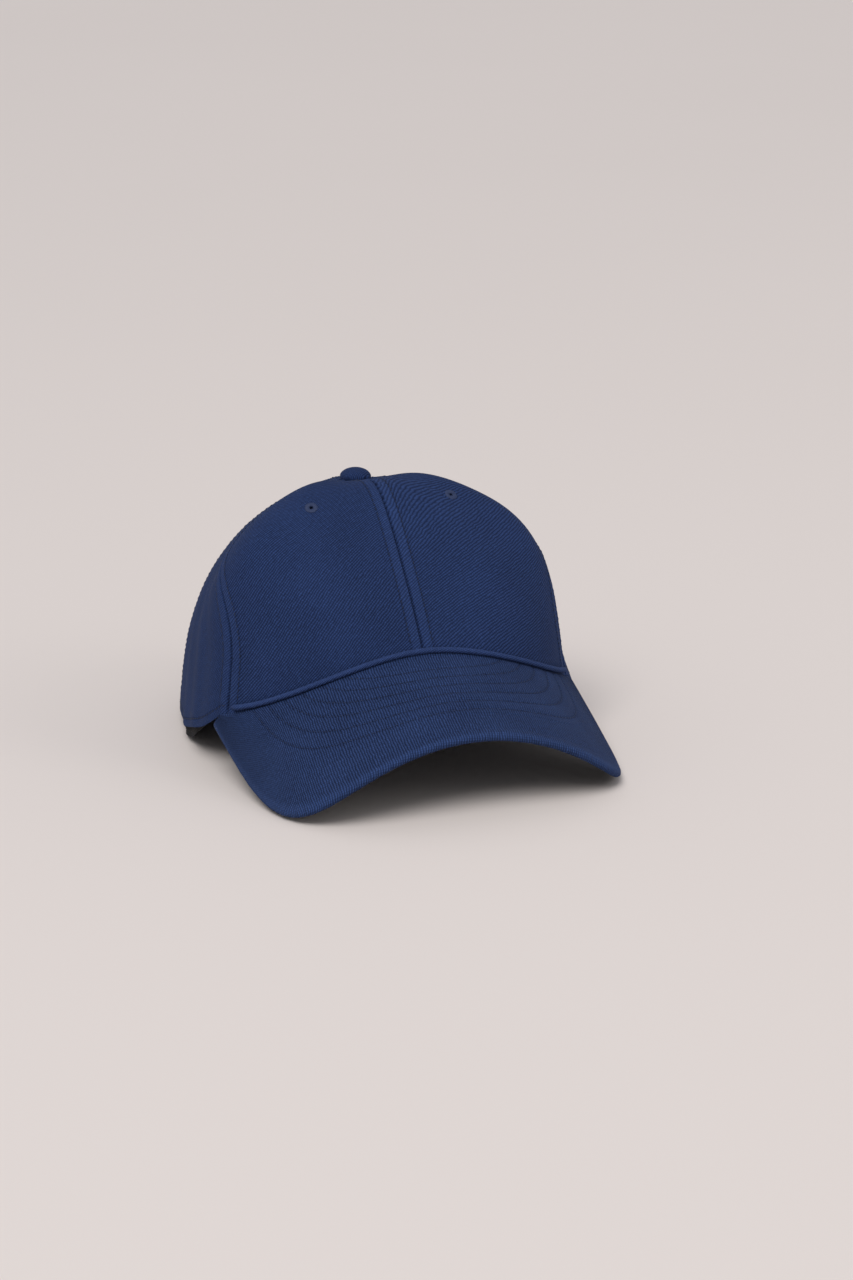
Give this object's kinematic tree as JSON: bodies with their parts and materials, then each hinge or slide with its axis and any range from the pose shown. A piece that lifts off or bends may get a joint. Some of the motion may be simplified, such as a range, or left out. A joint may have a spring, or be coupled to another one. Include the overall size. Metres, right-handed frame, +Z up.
{
  "type": "baseball cap",
  "caption": "Six-panel baseball cap with stiffened front panels, a curved visor, covered top button, stitched eyelets and a rear strap with a hinged metal clasp.",
  "frame": {"origin": "on the flat surface that the cap lies on, under the centre of the head opening", "axes": "+Z up, -Y towards the visor's front edge, X across the cap, with X = 0 its middle plane"},
  "size_m": [0.1882, 0.2497, 0.1274],
  "materials": {
    "navy_cloth": "matt textured cotton",
    "navy_thread": "satin stitched thread",
    "buckram": "stiff open weave",
    "dark_cloth": "matt twill",
    "foam": "soft foam",
    "board": "matt",
    "clasp_metal": "satin"
  },
  "bodies": {
    "cap": {"front_panel_left": "navy_cloth", "front_panel_right": "navy_cloth", "side_panel_left": "navy_cloth", "side_panel_right": "navy_cloth", "back_panel_left": "navy_cloth", "back_panel_right": "navy_cloth", "brow_roll": "navy_cloth", "visor_top_cloth": "navy_cloth", "button_cover": "navy_cloth", "arch_binding": "navy_cloth", "strap": "navy_cloth", "strap_tab": "navy_cloth", "eyelet_front_left": "navy_thread", "eyelet_front_right": "navy_thread", "eyelet_side_left": "navy_thread", "eyelet_side_right": "navy_thread", "eyelet_back_left": "navy_thread", "eyelet_back_right": "navy_thread", "buckram_left": "buckram", "buckram_right": "buckram", "tape_front": "dark_cloth", "tape_front_left": "dark_cloth", "tape_front_right": "dark_cloth", "tape_rear_left": "dark_cloth", "tape_rear_right": "dark_cloth", "tape_back": "dark_cloth", "sweatband": "dark_cloth", "visor_under_cloth": "dark_cloth", "sweatband_foam": "foam", "visor_board": "board", "button_shell": "clasp_metal", "button_rivet": "clasp_metal", "buckle_frame": "clasp_metal", "buckle_pin": "clasp_metal"},
    "lever": {"buckle_lever": "clasp_metal"}
  },
  "joints": [
    {"name": "lever_hinge", "type": "hinge", "parent": "cap", "child": "lever", "pos_m": [0.00077, 0.09511, 0.0155], "axis": [0, 0, 1], "range_deg": [0, 100]}
  ]
}
